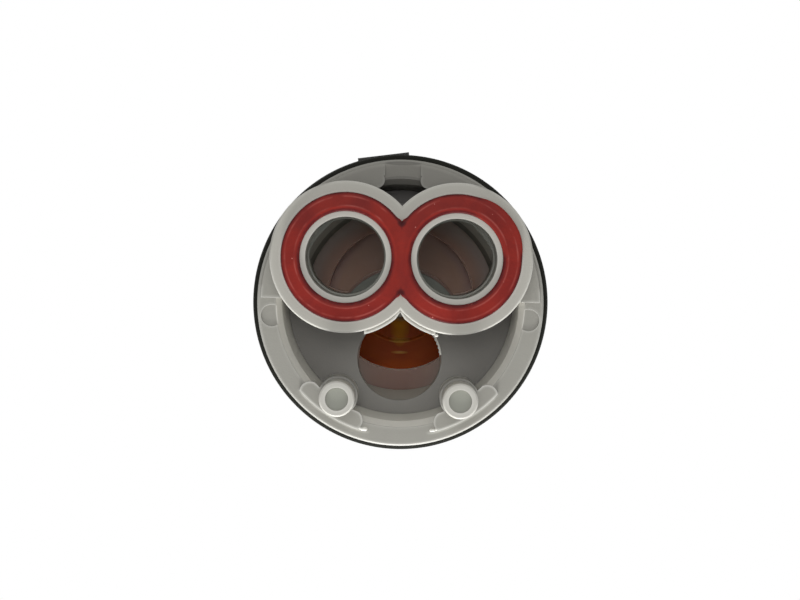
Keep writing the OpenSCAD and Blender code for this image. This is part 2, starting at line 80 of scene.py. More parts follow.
# %% Camera
CAMERA_PLACE = Vector((-0.06, -8.29, -300)) * MM
LOOK_TILT = math.radians(1.482)
CAMERA_ROLL = math.radians(-1.12)
LENS = 101.9


def aim_matrix(place, forward, up):
    right = forward.cross(up).normalized()
    true_up = right.cross(forward)
    turn = Matrix((right, true_up, -forward)).transposed()
    return Matrix.Translation(place) @ turn.to_4x4()


camera = bpy.data.objects.new("camera", bpy.data.cameras.new("camera"))
scene.collection.objects.link(camera)
look = Vector((0, math.sin(LOOK_TILT), math.cos(LOOK_TILT)))
image_up = Matrix.Rotation(CAMERA_ROLL, 3, look) @ Vector((0, -1, 0))
camera.matrix_world = aim_matrix(CAMERA_PLACE, look, image_up)
camera.data.lens = LENS
camera.data.sensor_width = 36
camera.data.clip_start = 0.01
scene.camera = camera
scene.view_settings.view_transform = "Standard"
print("camera at", [round(c / MM, 1) for c in camera.location], "mm")

# %% [markdown]
# ## Node helpers
#
# Every material is a small graph. Writing each link by hand hides what the graph does, so a few helpers do
# the wiring: one adds a node with its settings, and the others do a sum or mix two colours, whether they are
# given a plain value or a socket.


# %% Node helpers
def add_node(tree, kind, settings=None, **inputs):
    node = tree.nodes.new(kind)
    for name, value in (settings or {}).items():
        setattr(node, name, value)
    for name, value in inputs.items():
        node.inputs[name.replace("_", " ")].default_value = value
    return node


def feed(tree, sockets, values):
    """Each value goes to its socket: a link for an output of another node, or else the value itself."""
    for socket, value in zip(sockets, values):
        if isinstance(value, (int, float, tuple)):
            socket.default_value = value
        else:
            tree.links.new(value, socket)


def math_node(tree, operation, first, second=0.0, clamp=False):
    node = add_node(tree, "ShaderNodeMath", {"operation": operation, "use_clamp": clamp})
    feed(tree, node.inputs, (first, second))
    return node.outputs[0]


def mix_colours(tree, factor, first, second):
    node = add_node(tree, "ShaderNodeMix", {"data_type": "RGBA"})
    feed(tree, (node.inputs[0], node.inputs[6], node.inputs[7]), (factor, first, second))
    return node.outputs[2]


def srgb(red, green, blue):
    def linear(value):
        value = value / 255
        return value / 12.92 if value <= 0.04045 else ((value + 0.055) / 1.055) ** 2.4

    return (linear(red), linear(green), linear(blue), 1)


print("orange as a picture has it is", [round(c, 3) for c in srgb(218, 132, 58)[:3]], "to the renderer")

# %% [markdown]
# ## Effects as node groups
#
# Grain, dust, painted edge highlights and masks by place come back in many materials. Each is a node group,
# built once with named inputs and placed in each material with its own values. The nodes could be copied
# into every material, but then each correction would have to be made in all of them. The groups read the
# part's own coordinates, so what they draw stays put when the part moves.


# %% Effects as node groups
def new_group(name, inputs, output):
    group = bpy.data.node_groups.new(name, "ShaderNodeTree")
    for label, default in inputs.items():
        socket = group.interface.new_socket(label, in_out="INPUT", socket_type="NodeSocketFloat")
        socket.default_value = default
    group.interface.new_socket(output, in_out="OUTPUT", socket_type="NodeSocketFloat")
    given, result = group.nodes.new("NodeGroupInput"), group.nodes.new("NodeGroupOutput")
    return group, given.outputs, result.inputs[output]


def use_group(tree, group, **values):
    node = add_node(tree, "ShaderNodeGroup", {"node_tree": group}, **values)
    return node.outputs[0]


def own_place(tree):
    return tree.nodes.new("ShaderNodeTexCoord").outputs["Object"]


print("helpers for node groups are ready, and", len(bpy.data.node_groups), "groups are in the file")

# %% [markdown]
# ## Clouds, grain and specks
#
# Moulded plastic is never one flat colour. It clouds a little where the melt flowed, its face has a fine
# grain with a few scratches, and dust and lint sit on it. A painted texture could show all this, but it
# would need its own pictures and would repeat. Noise and cells made by nodes have no seams and suit parts of
# any size.


# %% Clouds, grain and specks
def pattern(group, kind, size, **inputs):
    """A texture on the part's own coordinates, with features about as wide as the size."""
    texture = add_node(group, kind, **inputs)
    group.links.new(own_place(group), texture.inputs["Vector"])
    group.links.new(math_node(group, "DIVIDE", 1.0, size), texture.inputs["Scale"])
    return texture.outputs


def build_clouds():
    group, given, result = new_group("clouds", {"Size": 4 * MM, "Contrast": 1.0}, "Mask")
    broad = pattern(group, "ShaderNodeTexNoise", given["Size"], Detail=4, Roughness=0.55, Distortion=0.4)
    centred = math_node(group, "SUBTRACT", broad["Fac"], 0.5)
    spread = math_node(group, "MULTIPLY", centred, given["Contrast"])
    group.links.new(math_node(group, "ADD", spread, 0.5, clamp=True), result)
    return group


def build_grain():
    group, given, result = new_group("grain", {"Size": 0.3 * MM, "Scratches": 0.3}, "Height")
    fine = pattern(group, "ShaderNodeTexNoise", given["Size"], Detail=3, Roughness=0.6)
    stretch = add_node(group, "ShaderNodeMapping", Rotation=(0.3, 0.2, 0.7), Scale=(1, 14, 3))
    group.links.new(own_place(group), stretch.inputs["Vector"])
    lines = add_node(group, "ShaderNodeTexNoise", Scale=160, Detail=2)
    group.links.new(stretch.outputs["Vector"], lines.inputs["Vector"])
    scratched = math_node(group, "MULTIPLY", lines.outputs["Fac"], given["Scratches"])
    group.links.new(math_node(group, "ADD", fine["Fac"], scratched), result)
    return group


def build_specks():
    """Dots in the cells of a pattern. The chance colour of a cell decides whether it has one."""
    dot_size = 0.1
    group, given, result = new_group("specks", {"Spacing": 1.2 * MM, "Amount": 0.3}, "Mask")
    cells = pattern(group, "ShaderNodeTexVoronoi", given["Spacing"], Randomness=1)
    near = math_node(group, "LESS_THAN", cells["Distance"], dot_size)
    chance = add_node(group, "ShaderNodeSeparateColor")
    group.links.new(cells["Color"], chance.inputs["Color"])
    chosen = math_node(group, "LESS_THAN", chance.outputs["Red"], given["Amount"])
    group.links.new(math_node(group, "MULTIPLY", near, chosen), result)
    return group


CLOUDS, GRAIN, SPECKS = build_clouds(), build_grain(), build_specks()
print("effects:", ", ".join(group.name for group in (CLOUDS, GRAIN, SPECKS)))

# %% [markdown]
# ## Painted edge highlights and corner shade
#
# A moulded edge is painted paler, a painted highlight where a rounded edge catches the light, and a corner or
# a narrow gap is painted darker, a painted shade where little light gets in. The edges could be marked one by
# one on the mesh, but the frame's meshes are left alone. Ambient occlusion finds both: looked at from inside
# the solid, a near face on the other side gives an edge away, and from outside, a near wall gives a corner
# away.


# %% Painted edge highlights and corner shade
def occlusion_mask(name, reach, strength, **settings):
    group, given, result = new_group(name, {"Reach": reach, "Strength": strength}, "Mask")
    openness = add_node(group, "ShaderNodeAmbientOcclusion", settings)
    group.links.new(given["Reach"], openness.inputs["Distance"])
    closed = math_node(group, "SUBTRACT", 1.0, openness.outputs["AO"])
    group.links.new(math_node(group, "MULTIPLY", closed, given["Strength"], clamp=True), result)
    return group


# Painted highlight: edges are made paler where a rounded edge catches the light.
EDGES = occlusion_mask("edge_highlight", 0.25 * MM, 2.0, samples=12, inside=True, only_local=True)
# Painted shade in corners and recesses.
CORNER_SHADE = occlusion_mask("recess", 8 * MM, 1.0, samples=8, only_local=True)
# Painted shade in narrow gaps between parts.
GAP_SHADE = occlusion_mask("gap", 0.6 * MM, 1.0, samples=8, only_local=False)
print("effects:", ", ".join(group.name for group in (EDGES, CORNER_SHADE, GAP_SHADE)))

# %% [markdown]
# ## Past a height
#
# Some painted light and shade belongs to a place on the part. The floor of its cavity has painted shade, a
# thin wall has painted light where it lets light through, and a lip is painted a little paler. Such places
# could be painted on a picture wrapped round the part, but a mask made from coordinates needs no picture and
# is dimensioned like a drawing. The first mask starts at a height along the part's axis. The helpers of the
# masks take plain millimetres, and all other lengths are written with MM.


# %% Past a height
def own_axes(tree):
    split = tree.nodes.new("ShaderNodeSeparateXYZ")
    tree.links.new(own_place(tree), split.inputs[0])
    return split.outputs


def build_depth():
    group, given, result = new_group("depth", {"Start": 0.0, "End": 10 * MM}, "Mask")
    passed = math_node(group, "SUBTRACT", own_axes(group)["Z"], given["Start"])
    whole = math_node(group, "SUBTRACT", given["End"], given["Start"])
    group.links.new(math_node(group, "DIVIDE", passed, whole, clamp=True), result)
    return group


def past(tree, start, end):
    """Nothing before the first height, all after the second."""
    return use_group(tree, DEPTH, Start=start * MM, End=end * MM)


DEPTH = build_depth()
print("effect:", DEPTH.name)

# %% [markdown]
# ## Soft spots
#
# The second mask is an ellipse seen along the axis, which fades to its edge, as the painted light and shade
# here do. A gradient texture with a mapping would give one such spot. The sum of two squares takes a few
# nodes more, but it can also be repeated beyond the middle plane, because the part is nearly the same on both
# sides.


# %% Soft spots
def sum_of_squares(tree, first, second):
    return math_node(tree, "ADD", math_node(tree, "MULTIPLY", first, first),
                     math_node(tree, "MULTIPLY", second, second))


def build_spot():
    sizes = {"Centre X": 0.0, "Centre Y": 0.0, "Half X": 2 * MM, "Half Y": 2 * MM, "Mirror": 1.0}
    group, given, result = new_group("soft_spot", sizes, "Mask")
    axes = own_axes(group)
    folded = math_node(group, "SUBTRACT", math_node(group, "ABSOLUTE", axes["X"]), axes["X"])
    folded = math_node(group, "MULTIPLY", folded, given["Mirror"])
    across = math_node(group, "ADD", axes["X"], folded)
    across = math_node(group, "SUBTRACT", across, given["Centre X"])
    across = math_node(group, "DIVIDE", across, given["Half X"])
    along = math_node(group, "SUBTRACT", axes["Y"], given["Centre Y"])
    along = math_node(group, "DIVIDE", along, given["Half Y"])
    squares = sum_of_squares(group, across, along)
    group.links.new(math_node(group, "SUBTRACT", 1.0, squares, clamp=True), result)
    return group


def sharpen(tree, mask, gain):
    return math_node(tree, "MULTIPLY", mask, gain, clamp=True)


def spot(tree, centre, half, gain=1.0, mirror=1.0):
    """An ellipse by its centre and its two half widths. The higher the gain, the harder its edge."""
    mask = use_group(tree, SPOT, Centre_X=centre[0] * MM, Centre_Y=centre[1] * MM,
                     Half_X=half[0] * MM, Half_Y=half[1] * MM, Mirror=mirror)
    return mask if gain == 1.0 else sharpen(tree, mask, gain)


SPOT = build_spot()
print("effect:", SPOT.name)

# %% [markdown]
# ## Lines along a circle
#
# The part is full of round edges, and the third mask follows one: a line that is strongest on its circle and
# fades to both sides. The edge could be marked on the mesh, but a line in the coordinates also crosses from
# one face or part to the next. It too is repeated beyond the middle plane.

# %% Lines along a circle
AXIS = (0, 0)


def build_circle_line():
    sizes = {"Centre X": 0.0, "Centre Y": 0.0, "Radius": 6 * MM, "Width": 0.3 * MM}
    group, given, result = new_group("circle_line", sizes, "Mask")
    axes = own_axes(group)
    across = math_node(group, "SUBTRACT", math_node(group, "ABSOLUTE", axes["X"]), given["Centre X"])
    along = math_node(group, "SUBTRACT", axes["Y"], given["Centre Y"])
    radius = math_node(group, "SQRT", sum_of_squares(group, across, along))
    off = math_node(group, "ABSOLUTE", math_node(group, "SUBTRACT", radius, given["Radius"]))
    away = math_node(group, "DIVIDE", off, given["Width"])
    group.links.new(math_node(group, "SUBTRACT", 1.0, away, clamp=True), result)
    return group


def circle_line(tree, centre, radius, width):
    return use_group(tree, CIRCLE_LINE, Centre_X=centre[0] * MM, Centre_Y=centre[1] * MM,
                     Radius=radius * MM, Width=width * MM)


CIRCLE_LINE = build_circle_line()
print("effect:", CIRCLE_LINE.name)

# %% [markdown]
# ## Coats of shade
#
# A shade at a place is then one line: a mask, or two masks that both have to hold, and a thin coat of
# another colour where the mask lets it through. The masks could also drive the roughness, but in the
# photograph only the tones change with the place. As with the layers of a paint program, a later coat lies
# over an earlier one.


# %% Coats of shade
def both(tree, first, second):
    return math_node(tree, "MULTIPLY", first, second)


def elsewhere(tree, mask):
    return math_node(tree, "SUBTRACT", 1.0, mask)


def coat(tree, paint, mask, colour, amount=1.0):
    if amount < 1.0:
        mask = math_node(tree, "MULTIPLY", mask, amount)
    return mix_colours(tree, mask, paint, colour)


print("a coat at 0.6 leaves", round(1 - 0.6, 1), "of the paint below it")

# %% [markdown]
# ## One recipe for moulded parts
#
# One function builds each plastic or rubber: a base colour that clouds towards a second one, paler edges that
# are a painted highlight, the coats of its own part, specks of dust, and a fine grain in the surface. The
# Bevel node rounds the edges in the shading alone, because the frame's meshes are left alone. Each finish
# could be a material of its own from scratch, but what differs is only numbers and coats, so they share one
# recipe.

# %% One recipe for moulded parts
SCRATCHES, SHADED_ROUND = 0.3, 0.12 * MM


def moulded(name, colour, cloudy, edge, roughness, shine=0.5, cloud_size=4 * MM, cloud_contrast=1.6,
            speck=None, speck_amount=0.2, speck_spacing=1.2 * MM, grain_size=0.25 * MM, grain_depth=0.02 * MM,
            edge_reach=0.22 * MM, edge_strength=1.6, coats=None):
    material = bpy.data.materials.new(name)
    material.use_nodes = True
    tree = material.node_tree
    shader = tree.nodes["Principled BSDF"]
    shader.inputs["Roughness"].default_value = roughness
    shader.inputs["Specular IOR Level"].default_value = shine
    paint = coat(tree, colour, use_group(tree, CLOUDS, Size=cloud_size, Contrast=cloud_contrast), cloudy)
    # The edge colour is a painted highlight along the edges.
    paint = coat(tree, paint, use_group(tree, EDGES, Reach=edge_reach, Strength=edge_strength), edge)
    if coats:
        paint = coats(tree, paint)
    if speck:
        paint = coat(tree, paint, use_group(tree, SPECKS, Spacing=speck_spacing, Amount=speck_amount), speck)
    tree.links.new(paint, shader.inputs["Base Color"])
    bump = add_node(tree, "ShaderNodeBump", Strength=1.0, Distance=grain_depth)
    tree.links.new(use_group(tree, GRAIN, Size=grain_size, Scratches=SCRATCHES), bump.inputs["Height"])
    rounded = add_node(tree, "ShaderNodeBevel", {"samples": 6}, Radius=SHADED_ROUND)
    tree.links.new(rounded.outputs["Normal"], bump.inputs["Normal"])
    tree.links.new(bump.outputs["Normal"], shader.inputs["Normal"])
    return material


def shader_inputs(material):
    return material.node_tree.nodes["Principled BSDF"].inputs


def tell(*materials):
    for material in materials:
        print("finish", material.name, "with", len(material.node_tree.nodes), "nodes")


print("edges are rounded in the shading by", round(SHADED_ROUND / MM, 2), "mm")

# %% [markdown]
# ## Light gray base
#
# The base is moulded in a satin light gray plastic that lets a little light into its thin walls. In the
# photograph its tone changes with the place: the rim lies back from the port block, and the web between them
# is in the block's shade. The wall of the cavity is pale and its floor dim, the pins stand bright on darker
# feet, and the bores are dull. The lamps alone could give this only with many bounces and real translucency,
# which render slowly and leave noise in so small and deep a part. The coats below are painted light and
# painted shade that write down what that light does, and the lamps do the rest. First come the heights and
# places that the coats refer to.

# %% Heights and places on the base
BLOCK_Z, RIM_Z, WEB_Z, FLOOR_Z, LEDGE_Z = 0.0, 5.0, 4.8, 10.5, 11.5
PORT, PORT_R = (7.4, -6.1), 5.35
PIN, PIN_TOP_Z, CORE_R = (8.17, 12.66), -2.0, 1.5
CAVITY_R, PAD_R, WEB_R, RIM_HIGHLIGHT_R = 16.85, 18.0, 18.85, 19.15
print("the port block stands", RIM_Z - BLOCK_Z, "mm proud of the rim, the pins", RIM_Z - PIN_TOP_Z, "mm")

# %% [markdown]
# ## Rim, block and painted highlights
#
# The rim and the port block are what the eye meets first, so their tones have to be right up to their edges.
# Their coats are painted shade and even tones: one coat for each face keeps it even. Painted highlights are
# left
# where a moulded edge catches the light: on the pads beside the pins, and along the far rim. A brighter lamp
# would light these edges too, but all others with them.


# %% Rim, block and painted highlights
def rim_coats(tree, paint):
    """Painted shade: the rim lies back, the web beside the ports lies in the block's shade, and the fold at
    its notch is shaded; a tone along the web's side covers its painted edge highlight.
    """
    # Painted shade on the rim, which lies back from the block.
    paint = coat(tree, paint, past(tree, 2.0, RIM_Z - 0.1), srgb(148, 147, 140), 0.6)
    # Painted shade of the block on the web.
    web = both(tree, spot(tree, (0, -22), (24, 13)), past(tree, WEB_Z - 0.8, WEB_Z - 0.2))
    paint = coat(tree, paint, web, srgb(124, 122, 115), 0.8)
    # An even tone along the web's side that covers the painted edge highlight there.
    inlet_side = spot(tree, (0, -60), (120, 59), gain=50.0)
    web_side = both(tree, circle_line(tree, AXIS, WEB_R, 0.5), inlet_side)
    paint = coat(tree, paint, web_side, srgb(150, 148, 140), 0.8)
    # Painted shade over the fold at the notch, which covers its edge highlight.
    fold = spot(tree, (0, -18.8), (2.7, 0.3), gain=3.0)
    return coat(tree, paint, fold, srgb(116, 114, 108), 0.85)


def block_coats(tree, paint):
    """The port block's flat face and the two lips round its bores have even tones up to their edges, which
    cover the painted edge highlight there; the lips are a little paler.
    """
    face = math_node(tree, "SUBTRACT", past(tree, BLOCK_Z - 0.6, BLOCK_Z - 0.5),
                     past(tree, BLOCK_Z + 0.03, BLOCK_Z + 0.12))
    paint = coat(tree, paint, face, srgb(182, 180, 171), 0.75)
    lip = spot(tree, PORT, (PORT_R + 0.95, PORT_R + 0.95), gain=40.0)
    return coat(tree, paint, lip, srgb(188, 186, 178), 0.75)


def highlight_coats(tree, paint):
    """Painted highlights run along the pads beside the pins and along the far rim."""
    pin_side = spot(tree, (8.6, 14.6), (6, 5), gain=3.0)
    # Painted highlight along the pads.
    pad_highlight = both(tree, circle_line(tree, AXIS, PAD_R, 0.3), pin_side)
    paint = coat(tree, paint, pad_highlight, srgb(240, 239, 232), 0.6)
    far_side = spot(tree, (0, 20), (18, 18), gain=2.0)
    # Painted highlight along the far rim.
    rim_highlight = both(tree, circle_line(tree, AXIS, RIM_HIGHLIGHT_R, 0.3), far_side)
    return coat(tree, paint, rim_highlight, srgb(236, 235, 228), 0.35)


print("pale lines at radii of", PAD_R, "and", RIM_HIGHLIGHT_R, "mm")

# %% [markdown]
# ## Cavity
#
# Round the outlet the base is hollow. Its wall is thin and is painted pale with the light it takes in from
# outside, and its floor lies deep, with painted shade that is dimmest beside the port block and lighter where
# light falls in past the pins. All corners get a little painted shade. The corner-shade mask alone would
# shade the wall as much as the floor, so both have coats of their own, and it comes after them.


# %% Cavity
def cavity_coats(tree, paint):
    """In turn, painted light and shade: light on the wall, shade in the notch and on the deep floor, light on
    its lit part, shade in all corners, and light on what lies below the floor.
    """
    cavity = spot(tree, AXIS, (CAVITY_R, CAVITY_R), gain=100.0)
    # Painted light on the cavity's thin wall.
    wall = both(tree, past(tree, RIM_Z, RIM_Z + 0.08), cavity)
    paint = coat(tree, paint, wall, srgb(220, 218, 210), 0.9)
    # Painted shade in the notch.
    notch = both(tree, spot(tree, (0, -15.3), (4.5, 1.8), gain=20.0), past(tree, RIM_Z - 0.1, RIM_Z))
    paint = coat(tree, paint, notch, srgb(118, 116, 111), 0.9)
    # Painted shade on the deep floor.
    deep = past(tree, FLOOR_Z - 0.6, FLOOR_Z + 0.1)
    paint = coat(tree, paint, deep, srgb(70, 66, 63), 0.9)
    # Painted light where light falls in past the pins.
    lit = both(tree, deep, spot(tree, (0, 15.5), (13.5, 13)))
    paint = coat(tree, paint, lit, srgb(146, 144, 139), 0.9)
    # Painted shade in all corners.
    paint = coat(tree, paint, use_group(tree, CORNER_SHADE, Strength=0.35), srgb(96, 93, 90))
    # Painted light on what lies below the floor.
    return coat(tree, paint, past(tree, FLOOR_Z + 0.3, FLOOR_Z + 0.7), srgb(152, 148, 140))


print("the cavity's floor lies", FLOOR_Z - RIM_Z, "mm below the rim")

# %% [markdown]
# ## Pins and bores
#
# Two cored pins keep the cartridge from turning in its tap. Their tops catch most light of all and are
# painted bright, while their feet stand in the cavity's shade, which is painted. The bores are tubes whose
# walls see little of the light tent, and each ends at a ledge; both have painted shade. The spots here are as
# wide as the pin's core and the bore, and a high gain makes them sharp. Vertex colours would end at the
# nearest edge of the mesh instead.


# %% Pins and bores
def pin_coats(tree, paint):
    """Painted shade on the pins' feet, painted light on their bright tops, and painted shade in their shallow
    core.
    """
    # Painted shade on the pins' feet.
    foot = both(tree, spot(tree, (PIN[0] - 0.8, PIN[1] - 1.6), (3.3, 3.3), gain=4.0),
                past(tree, RIM_Z - 0.8, RIM_Z - 0.6))
    foot = math_node(tree, "SUBTRACT", foot, past(tree, 8.0, 10.0), clamp=True)
    paint = coat(tree, paint, foot, srgb(128, 126, 120), 0.75)
    # Painted light on the pins' tops.
    top = elsewhere(tree, past(tree, PIN_TOP_Z + 0.1, PIN_TOP_Z + 0.3))
    paint = coat(tree, paint, top, srgb(200, 198, 190), 0.8)
    # Painted shade in the pins' cores.
    return coat(tree, paint, spot(tree, PIN, (CORE_R, CORE_R), gain=20.0), srgb(150, 153, 142), 0.7)


def bore_coats(tree, paint):
    """Painted shade: little light reaches the walls of the bores, and less the ledge at their ends."""
    # Painted shade on the bores' walls.
    bore = spot(tree, PORT, (PORT_R + 0.1, PORT_R + 0.1), gain=200.0)
    bore = both(tree, bore, past(tree, 0.3, 1.5))
    paint = coat(tree, paint, bore, srgb(158, 158, 150))
    # Painted shade on the ledges.
    ledge = both(tree, bore, past(tree, LEDGE_Z - 0.2, LEDGE_Z - 0.05))
    return coat(tree, paint, ledge, srgb(106, 108, 100))


print("pins at", PIN, "and bores at", PORT, "mm, and mirrored")

# %% [markdown]
# ## The base's finish
#
# The coats of painted light and shade go on from the outside inwards, and then the recipe makes the finish.
# Its painted edge highlights are wider and stronger than on the other parts, because the photograph shows
# pale edges all over this plastic.


# %% The base's finish
def base_coats(tree, paint):
    for coats in (rim_coats, block_coats, highlight_coats, cavity_coats, pin_coats, bore_coats):
        paint = coats(tree, paint)
    return paint


# The third colour is the painted edge highlight.
base_plastic = moulded("base_plastic", srgb(174, 172, 163), srgb(166, 163, 155), srgb(240, 239, 232),
                       roughness=0.5, shine=0.35, speck=srgb(225, 224, 216), speck_amount=0.012,
                       edge_reach=0.42 * MM, edge_strength=2.5, coats=base_coats)
tell(base_plastic)

# %% [markdown]
# ## Red silicone
#
# The port seal is dark red silicone, a little blotchy, with lint on it. Paler lines on its face are painted
# highlights, and the dark gaps between it and the walls of its groove are painted shade. Two small dark spots
# mark the waist of the figure eight. The gaps could be left to the geometry alone, but they are finer than a
# pixel, so a line of painted shade in the colour keeps them even.

# %% Red silicone
SEAL_IN_R, SEAL_OUT_R = 6.14, 8.6
WAIST_SPOTS = (-10.68, -1.52)


def seal_coats(tree, paint):
    """In turn: painted highlight lines, painted shade in the gaps beside the groove's walls, two dark spots
    at the waist, and painted shade in narrow places.
    """
    waist = spot(tree, (0, PORT[1]), (3.6, 9), gain=3.0)
    patches = both(tree, use_group(tree, CLOUDS, Size=3 * MM, Contrast=5.0), elsewhere(tree, waist))
    # Painted highlights along the seal's face.
    for radius in (SEAL_IN_R + 0.66, SEAL_OUT_R - 0.55):
        seal_highlight = both(tree, circle_line(tree, PORT, radius, 0.16), patches)
        paint = coat(tree, paint, seal_highlight, srgb(178, 92, 84), 0.6)
    uneven = math_node(tree, "MULTIPLY", use_group(tree, CLOUDS, Size=1.4 * MM, Contrast=3.0), 0.9)
    crept_over = spot(tree, (14.4, -11.2), (5, 5), gain=2.5, mirror=0.0)
    uneven = both(tree, math_node(tree, "ADD", uneven, 0.5), elsewhere(tree, crept_over))
    # Painted shade in the gaps beside the groove's walls.
    for radius in (SEAL_IN_R + 0.12, SEAL_OUT_R - 0.08):
        gap = sharpen(tree, both(tree, circle_line(tree, PORT, radius, 0.34), uneven), 1.1)
        paint = coat(tree, paint, gap, srgb(86, 17, 19))
    # Two small dark spots at the waist.
    for waist_spot_y in WAIST_SPOTS:
        paint = coat(tree, paint, spot(tree, (0, waist_spot_y), (0.7, 0.5)), srgb(60, 10, 14))
    # Painted shade in narrow places.
    return coat(tree, paint, use_group(tree, GAP_SHADE, Strength=0.9), srgb(80, 18, 20))


red_silicone = moulded("red_silicone", srgb(146, 40, 30), srgb(118, 31, 27), srgb(150, 60, 51),
                       roughness=0.5, shine=0.15, cloud_size=5 * MM, cloud_contrast=2.4,
                       speck=srgb(190, 112, 104), speck_amount=0.14, speck_spacing=0.85 * MM,
                       grain_size=0.5 * MM, grain_depth=0.04 * MM, coats=seal_coats)
tell(red_silicone)

# %% [markdown]
# ## Rubbers and plain plastics
#
# The body ring and the gaskets are black nitrile rubber. The gaskets sit inside the base, whose plastic lets
# some light through to them, so they are painted paler, with painted light in a finish of their own. The
# housing, the rotor, the glide ring and the limiter ring are plain moulded plastics. None of them needs
# coats, so the recipe alone makes them.

# %% Rubbers and plain plastics
black_rubber = moulded("black_rubber", srgb(32, 33, 29), srgb(38, 38, 34), srgb(42, 42, 38),
                       roughness=0.75, shine=0.04)
# The gaskets' paler colour is painted light.
lit_gasket_rubber = moulded("lit_gasket_rubber", srgb(58, 53, 49), srgb(52, 48, 44), srgb(62, 58, 54),
                        roughness=0.75, shine=0.04)
housing_plastic = moulded("housing_plastic", srgb(30, 31, 29), srgb(36, 36, 34), srgb(66, 67, 64),
                          roughness=0.45, shine=0.3, speck=srgb(120, 118, 112), speck_amount=0.04)
rotor_plastic = moulded("rotor_plastic", srgb(64, 65, 68), srgb(72, 73, 75), srgb(100, 101, 104),
                        roughness=0.4)
glide_plastic = moulded("glide_plastic", srgb(226, 221, 204), srgb(216, 210, 192), srgb(238, 235, 222),
                        roughness=0.35)
limiter_plastic = moulded("limiter_plastic", srgb(168, 40, 34), srgb(150, 34, 30), srgb(196, 84, 72),
                          roughness=0.38)
tell(black_rubber, lit_gasket_rubber, housing_plastic, rotor_plastic, glide_plastic, limiter_plastic)

# %% [markdown]
# ## Ceramic discs
#
# Both discs are alumina ceramic, ground and lapped flat. Under the ports they have one tone, and elsewhere a
# paler, greyer tone, painted light that lifts the shaded edges of the bores. Along the outer edge of the
# inlets the tones of the two discs are painted to run together over the shade there. One material could serve
# both, but the moving disc lies deeper and is painted paler, so each has its own tones.

# %% Ceramic discs
DISC_Z, INLET_EDGE_R = 14.3, 10.5


def port_tones(tree, paint):
    """The disc's tone under the ports, and elsewhere a paler tone, painted light on the bores' shaded edges.
    """
    seen = math_node(tree, "MAXIMUM", spot(tree, (6.6, -3.4), (5.6, 6)), spot(tree, (0, 11), (7, 7)))
    return coat(tree, srgb(158, 144, 136), seen, paint)


def near_inlets(tree, mask):
    return both(tree, mask, spot(tree, (6.6, -4.5), (6.4, 7), gain=4.0))


def inlet_edge(tree):
    return near_inlets(tree, circle_line(tree, AXIS, INLET_EDGE_R, 1.8))


def fixed_coats(tree, paint):
    """Painted tones soften the shade along the inlets' edge, and painted light makes the walls of the disc's
    ports paler than its face.
    """
    paint = coat(tree, port_tones(tree, paint), inlet_edge(tree), srgb(148, 119, 106))
    # Painted light on the shaded walls of the ports.
    return coat(tree, paint, past(tree, DISC_Z, DISC_Z + 1.2), srgb(250, 232, 222))


def moving_coats(tree, paint):
    # Painted tones soften the shade along the inlets' edge.
    return coat(tree, port_tones(tree, paint), inlet_edge(tree), srgb(145, 127, 125))


print("the fixed disc starts at", DISC_Z, "mm, the edge of its inlets has a radius of", INLET_EDGE_R, "mm")

# %% [markdown]
# ## Light in the ceramic
#
# Light wanders a little way into ceramic and comes out again beside where it went in. Subsurface scattering
# gives that softness, and a faint glow in the walls of the inlets is painted light: an emission that stands
# for the light that reaches them through the disc. A clear material would let light right through, which
# ceramic doesn't do.


# %% Light in the ceramic
def let_light_in(material, weight, radius, scale):
    inputs = shader_inputs(material)
    inputs["Subsurface Weight"].default_value = weight
    inputs["Subsurface Radius"].default_value = radius
    inputs["Subsurface Scale"].default_value = scale
    return material


def ceramic(name, colour, stained, coats):
    material = moulded(name, colour, stained, colour, roughness=0.5, shine=0.1, grain_size=0.12 * MM,
                       grain_depth=0.006 * MM, coats=coats)
    return let_light_in(material, weight=0.8, radius=(1.0, 0.8, 0.7), scale=2 * MM)


def painted_glow_in_walls(material):
    tree = material.node_tree
    # Painted light: the walls of the inlets glow a little.
    wall = near_inlets(tree, past(tree, DISC_Z + 0.05, DISC_Z + 0.3))
    glow = coat(tree, srgb(0, 0, 0), wall, srgb(42, 34, 30))
    tree.links.new(glow, shader_inputs(material)["Emission Color"])
    shader_inputs(material)["Emission Strength"].default_value = 1.0
    return material


fixed_ceramic = painted_glow_in_walls(ceramic("fixed_ceramic", srgb(142, 116, 107), srgb(132, 106, 97), fixed_coats))
moving_ceramic = ceramic("moving_ceramic", srgb(156, 132, 120), srgb(146, 121, 106), moving_coats)
tell(fixed_ceramic, moving_ceramic)

# %% [markdown]
# ## Amber carrier
#
# The disc carrier is amber plastic that light gets into. Through the outlet one sees its domed chamber, olive
# in the middle and orange beside its rim, with a bright arc where the dome begins. Glass-like transmission
# would need light to find its way through several walls, so the plastic scatters light below its surface
# instead, and coats of painted light and shade place the olive highlight, the shade at its far end, the
# bright arc, the lit band and the two glints.

# %% Amber carrier
DOME, DOME_R = (0, -0.45), 6.3


